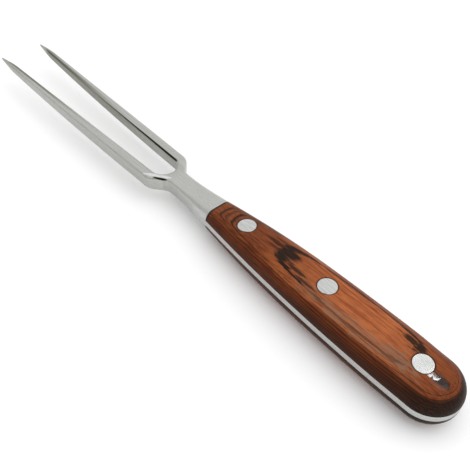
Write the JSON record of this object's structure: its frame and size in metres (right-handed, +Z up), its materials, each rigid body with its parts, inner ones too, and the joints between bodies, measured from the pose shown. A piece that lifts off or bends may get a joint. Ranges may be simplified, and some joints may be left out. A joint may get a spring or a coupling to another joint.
{
  "type": "carving fork",
  "caption": "Forged steel carving fork with long pointed tines, a full tang and a laminated dyed-wood handle held by flush rivets.",
  "frame": {"origin": "under the middle of the fork's length and width, on the plane of the handle's lower land", "axes": "+X from the butt of the handle to the tine tips, +Y to the left seen from above, +Z up out of the upper scale"},
  "size_m": [0.28, 0.0248, 0.0182],
  "materials": {
    "forged_steel": "satin ground",
    "laminated_wood": "lacquered, semi-gloss",
    "rivet_steel": "polished flush"
  },
  "bodies": {
    "root": {"fork_blank": "forged_steel", "upper_scale": "laminated_wood", "lower_scale": "laminated_wood", "front_rivet_socket": "rivet_steel", "front_rivet_pin": "rivet_steel", "middle_rivet_socket": "rivet_steel", "middle_rivet_pin": "rivet_steel", "rear_rivet_socket": "rivet_steel", "rear_rivet_pin": "rivet_steel"}
  },
  "joints": []
}
